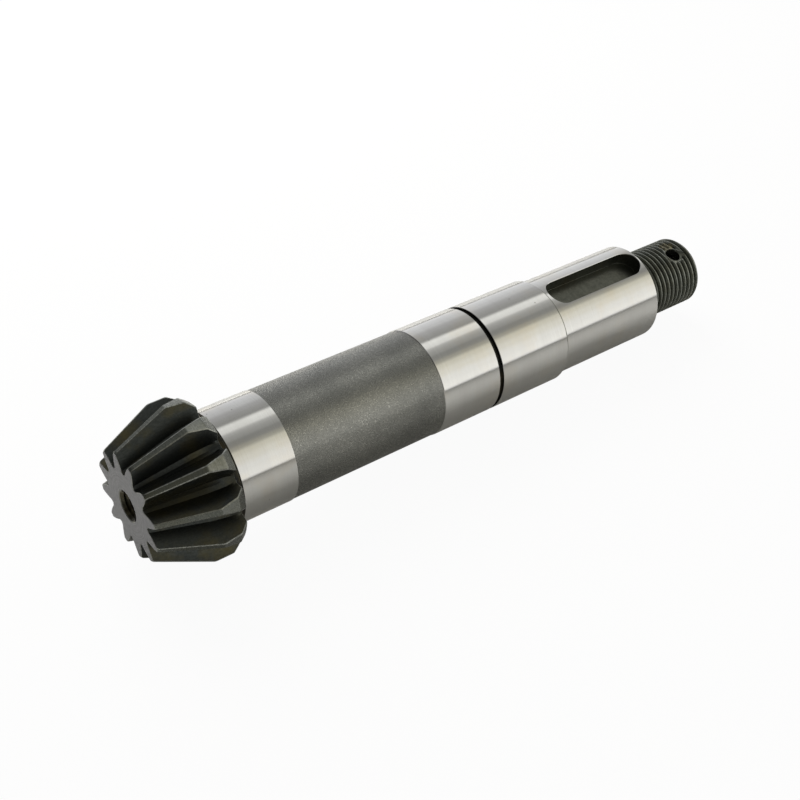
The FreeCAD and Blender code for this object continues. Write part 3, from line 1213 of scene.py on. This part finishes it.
@dataclass(frozen=True)
class Palette:
    """All finishes of the shaft, one for each surface."""

    ground: Finish = GroundSteel("ground_alloy_steel", "#CCCCC9", "#C1C0BD", 0.11, 0.5)
    hardened: Finish = HardenedSteel("heat_treated_dark_steel", "#878782", "#6C6D6A", 0.31)
    flank: Finish = CutSteel("case_hardened_gear_steel", "#494C4A", "#3B3E3C", 0.43, tint="#5F5734",
                             tint_share=0.55, tint_size=10.0)
    crown: Finish = CutSteel("case_hardened_tooth_crown", "#828480", "#6C6F6A", 0.27,
                             mark_stretch=ROUND_THE_SHAFT, tint="#66634F", tint_share=0.3)
    # A darker copy of the crown's steel: painted shade on the face-cone lands.
    land: Finish = CutSteel("case_hardened_face_cone_painted_shade", "#71736D", "#5D605B", 0.27,
                            mark_stretch=ROUND_THE_SHAFT, tint="#66634F", tint_share=0.3)
    rubbed: Finish = CutSteel("rubbed_tooth_edge", "#A2A49E", "#6C6E69", 0.3, tint="#7A776A",
                              mark_stretch=(0.5, 0.5, 0.5), tint_share=0.2)
    toe: Finish = FacedSteel("turned_face_steel", "#7F7F81", "#69696B", 0.4)
    # Darker steel in the thread's root: painted shade.
    root: Finish = CutSteel("thread_root_painted_shade", "#5A5D57", "#454843", 0.4, tint="#4E4A38",
                            tint_share=0.3)
    thread: Finish = CutSteel("cut_thread_steel", "#8E918A", "#6E716A", 0.4, mark_stretch=(0.4, 0.3, 0.3),
                              tint="#6A6246", tint_share=0.3, tint_size=4.0)
    keyway_floor: Finish = CutSteel("milled_keyway_floor", "#5D5E55", "#4F5049", 0.38, tint="#4E4C3E",
                                    mark_stretch=(0.5, 0.3, 0.3), mark_height=0.00002, tint_share=0.25)
    keyway_wall: Finish = CutSteel("milled_keyway_wall", "#6B6E67", "#585B54", 0.42, mark_height=0.00002,
                                   mark_stretch=(1.2, 0.2, 0.2))
    # Dark steel of the grooves; in the relief under the shoulder its darkness is also painted shade.
    groove: Finish = CutSteel("dark_groove_steel", "#3A3C39", "#2A2B29", 0.4)
    # The bore's dark colour is painted shade inside the tapped hole, its countersink and the turning
    # centre.
    bore: Finish = CutSteel("drilled_bore_painted_shade", "#4C4A3F", "#37362E", 0.2)
    bruised: Finish = CutSteel("bruised_thread_steel", "#8A866E", "#58564A", 0.34, tint="#B0A98E",
                               mark_stretch=(1.4, 1.4, 1.4), tint_share=0.6, tint_size=1.3)
    # Near-black steel on the collar: painted shade.
    collar: Finish = CutSteel("collar_painted_shade_steel", "#2A2A28", "#1C1D1B", 0.42,
                              mark_stretch=ROUND_THE_SHAFT)
    end: Finish = FacedSteel("turned_end_steel", "#8A8B84", "#70716A", 0.36)

    def in_order(self, lie: Matrix) -> list[bpy.types.Material]:
        """Make one material for each surface, in the order of the surfaces."""
        return [getattr(self, surface.name.lower()).material(lie) for surface in Surface]


# ---- the whole shaft


@dataclass
class PinionShaft:
    """The shaft, made of its sub-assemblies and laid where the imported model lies."""

    teeth: PinionTeeth = field(default_factory=PinionTeeth)
    tapped_hole: TappedHole = field(default_factory=TappedHole)
    palette: Palette = field(default_factory=Palette)
    undercut_to_thread: float = 1.35
    thread_length: float = 21.8
    sharp_from: float = 27.0
    shank: GroundShank = field(init=False)
    hub: HubSeat = field(init=False)
    thread: NutThread = field(init=False)

    def __post_init__(self) -> None:
        """Set each sub-assembly behind the one before it."""
        self.shank = GroundShank(self.teeth.back())
        self.hub = HubSeat(self.shank.step())
        crests = self.hub.end() + self.hub.undercut_length
        self.thread = NutThread(crests - self.undercut_to_thread, crests + self.thread_length)

    def placement(self) -> Matrix:
        """Work out where the shaft lies from the record's mounts on the two bearing seats.

        Returns:
            Matrix from the shaft's own axes to the row frame.
        """
        mounts = {mount["name"]: Vector(mount["pos_m"]) for mount in frame["record"]["mounts"]}
        nearby, far = mounts["front_bearing_seat"], mounts["rear_bearing_seat"]
        along = (far - nearby).normalized()
        across = Vector((0, 1, 0))
        turn = Matrix((along, across, along.cross(across))).transposed().to_4x4()
        return Matrix.Translation(nearby - along * self.shank.front_seat_middle() * MM) @ turn

    def build(self) -> bpy.types.Object:
        """Build the shaft, cut its keyway and hole, dress it and place it.

        Returns:
            The finished object.
        """
        skin = Skin()
        for part in (self.tapped_hole, self.teeth, self.shank, self.hub, self.thread):
            part.build(skin)
        whole = skin.mesh("pinion_shaft_skin")
        piece = put("pinion_shaft_steel", whole)
        lie = self.placement()
        for made in self.palette.in_order(lie):
            whole.materials.append(made)
        for cutter in (self.hub.keyway_cutter(), self.thread.pin_hole_cutter()):
            self._cut(piece, cutter)
        piece.data.shade_smooth()
        piece.data.set_sharp_from_angle(angle=math.radians(self.sharp_from))
        piece.data.transform(lie)
        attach(piece, "root")
        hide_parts("pinion_shaft")
        log.info("%s: %d faces", piece.name, len(piece.data.polygons))
        return piece

    def _cut(self, piece: bpy.types.Object, cutter: bpy.types.Mesh) -> None:
        """Take a cutter's room out of the piece.

        Args:
            piece: Object that is cut.
            cutter: Closed mesh, which gets the piece's material slots.
        """
        for made in piece.data.materials:
            cutter.materials.append(made)
        tool = put(cutter.name, cutter)
        cut = piece.modifiers.new(cutter.name, "BOOLEAN")
        cut.operation, cut.solver, cut.object, cut.material_mode = "DIFFERENCE", "EXACT", tool, "INDEX"
        bpy.context.view_layer.update()
        graph = bpy.context.evaluated_depsgraph_get()
        result = bpy.data.meshes.new_from_object(piece.evaluated_get(graph))
        piece.modifiers.clear()
        piece.data = result
        bpy.data.objects.remove(tool)


# ---- the studio


@dataclass
class Studio:
    """Plain pale floor, soft light from bands of white cloth, and the camera."""

    floor_size: float = 40.0
    floor_colour: str = "#BEBDBA"
    white_seen: float = 0.95
    white_mirrored: float = 0.04
    # Angle from straight up towards the front, brightness and tint.
    sky: tuple[tuple[float, float, str], ...] = (
        (-90, 1.18, "#FDFDFF"), (-75, 0.98, "#FBFCFF"), (-62, 0.86, "#FCFDFF"), (-48, 0.60, "#FEFEFF"),
        (-36, 0.50, "#FFFFFD"), (-28, 0.44, "#FFFFFC"), (-20, 1.26, "#FFFFFC"), (-9, 1.14, "#FFFFFC"),
        (-2, 0.64, "#FFFFFC"), (5, 0.52, "#FFFFFB"), (10, 0.47, "#FFFFFB"), (15, 0.37, "#FFFFFA"),
        (21, 0.38, "#FFFEF8"), (29, 0.54, "#FFFCEC"), (38, 0.96, "#FFFBEA"), (52, 1.14, "#FFFCF1"),
        (68, 1.28, "#FFFEFA"), (82, 1.38, "#FFFEFA"), (90, 1.46, "#FFFEFA"))
    # Share of a direction that lies along the shaft where the sky is darkest and where it is full, and
    # how bright the darkest is.
    toe_side: Triple = (-0.5, 0.5, 0.2)
    # Rise of a direction where the white horizon starts to fade and where it is gone.
    horizon: Pair = (0.02, 0.05)
    # Name, watts, size and place.
    lamps: tuple[tuple[str, float, float, Triple], ...] = (
        ("overhead_cloth", 2.5, 1.6, (0.2, 0.15, 1.7)), ("rear_cloth", 4.7, 0.5, (0.05, 0.42, 0.38)),
        ("far_cloth", 8.0, 1.2, (0.2, 1.5, 0.7)))
    camera_place: Triple = (-0.201449, -0.248739, 0.266540)
    camera_azimuth: float = 36.8347
    camera_drop: float = 38.8768
    camera_roll: float = -0.5544
    lens: float = 57.1635
    sensor: float = 36.0
    clip: Pair = (0.01, 100.0)

    def build(self) -> None:
        """Build the floor, the world, the lamps and the camera."""
        self._floor()
        self._world()
        self._lamps()
        self._camera()
        log.info("studio: floor, sky, lamps and camera")

    def _floor(self) -> None:
        """Lay a pale floor that looks white and keeps the soft shadow of the shaft."""
        half = self.floor_size / 2
        mesh = bpy.data.meshes.new("studio_floor")
        mesh.from_pydata([(-half, -half, 0), (half, -half, 0), (half, half, 0), (-half, half, 0)], [],
                         [(0, 1, 2, 3)])
        floor = put("studio_floor", mesh)
        made = bpy.data.materials.new("white_paper_floor")
        tree = blank(made)
        paper = add(tree, "ShaderNodeBsdfDiffuse", {"Color": linear(self.floor_colour)})
        white = add(tree, "ShaderNodeEmission", {"Color": (1, 1, 1, 1), "Strength": 1.0})
        path = add(tree, "ShaderNodeLightPath").outputs
        seen = maths(tree, "MULTIPLY", path["Is Camera Ray"], self.white_seen)
        other = maths(tree, "MAXIMUM", path["Is Glossy Ray"], path["Is Transmission Ray"])
        share = maths(tree, "MULTIPLY_ADD", other, self.white_mirrored, seen, use_clamp=True)
        both = add(tree, "ShaderNodeMixShader", {0: share, 1: paper.outputs[0], 2: white.outputs[0]})
        add(tree, "ShaderNodeOutputMaterial", {"Surface": both.outputs[0]})
        mesh.materials.append(made)

    def _world(self) -> None:
        """Hang bands of light and shade over the shaft, along its length, and a white horizon."""
        world = bpy.data.worlds.new("studio_sky")
        bpy.context.scene.world = world
        tree = blank(world)
        way = add(tree, "ShaderNodeTexCoord").outputs["Generated"]
        along, back, up = add(tree, "ShaderNodeSeparateXYZ", {0: way}).outputs
        turn = maths(tree, "ARCTAN2", maths(tree, "MULTIPLY", back, -1.0), up)
        bands = add(tree, "ShaderNodeValToRGB", {0: ranged(tree, turn, (-math.pi / 2, math.pi / 2))})
        top = max(level for _, level, _ in self.sky)
        ramp = bands.color_ramp
        ramp.interpolation = "EASE"
        while len(ramp.elements) < len(self.sky):
            ramp.elements.new(0.5)
        for element, (angle, level, tint) in zip(ramp.elements, self.sky):
            element.position = (angle + 90) / 180
            element.color = tuple(part * level / top for part in linear(tint)[:3]) + (1.0,)
        low = ranged(tree, up, self.horizon, 1.0, 0.0)
        colour = mixed(tree, low, bands.outputs["Color"], (1 / top, 1 / top, 1 / top, 1.0))
        darkest, full, least = self.toe_side
        strength = ranged(tree, along, (darkest, full), least * top, top)
        sky = add(tree, "ShaderNodeBackground", {"Color": colour, "Strength": strength})
        add(tree, "ShaderNodeOutputWorld", {"Surface": sky.outputs[0]})

    def _lamps(self) -> None:
        """Hang a broad lamp overhead and two behind, for the soft shadow in front of the shaft."""
        for name, power, size, place in self.lamps:
            lamp = bpy.data.lights.new(name, "AREA")
            lamp.shape, lamp.size, lamp.energy = "DISK", size, power
            hung = put(name, lamp)
            hung.location = place
            hung.rotation_euler = (-Vector(place)).to_track_quat("-Z", "Y").to_euler()
            hung.visible_glossy = False

    def _camera(self) -> None:
        """Put the camera where the photograph was taken from."""
        lens = bpy.data.cameras.new("photo_camera")
        lens.lens, lens.sensor_width = self.lens, self.sensor
        lens.clip_start, lens.clip_end = self.clip
        turn, drop = math.radians(self.camera_azimuth), math.radians(self.camera_drop)
        flat = math.cos(drop)
        ahead = Vector((math.sin(turn) * flat, math.cos(turn) * flat, -math.sin(drop)))
        level = ahead.to_track_quat("-Z", "Y").to_matrix().to_4x4()
        roll = Matrix.Rotation(math.radians(self.camera_roll), 4, "Z")
        camera = put("photo_camera", lens)
        camera.matrix_world = Matrix.Translation(self.camera_place) @ level @ roll
        bpy.context.scene.camera = camera


def main() -> None:
    """Build the shaft and its studio, in order."""
    logging.basicConfig(level=logging.INFO, format="%(name)s: %(message)s")
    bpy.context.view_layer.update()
    bpy.context.scene.view_settings.view_transform = "Standard"
    PinionShaft().build()
    Studio().build()


if __name__ == "__main__":
    main()
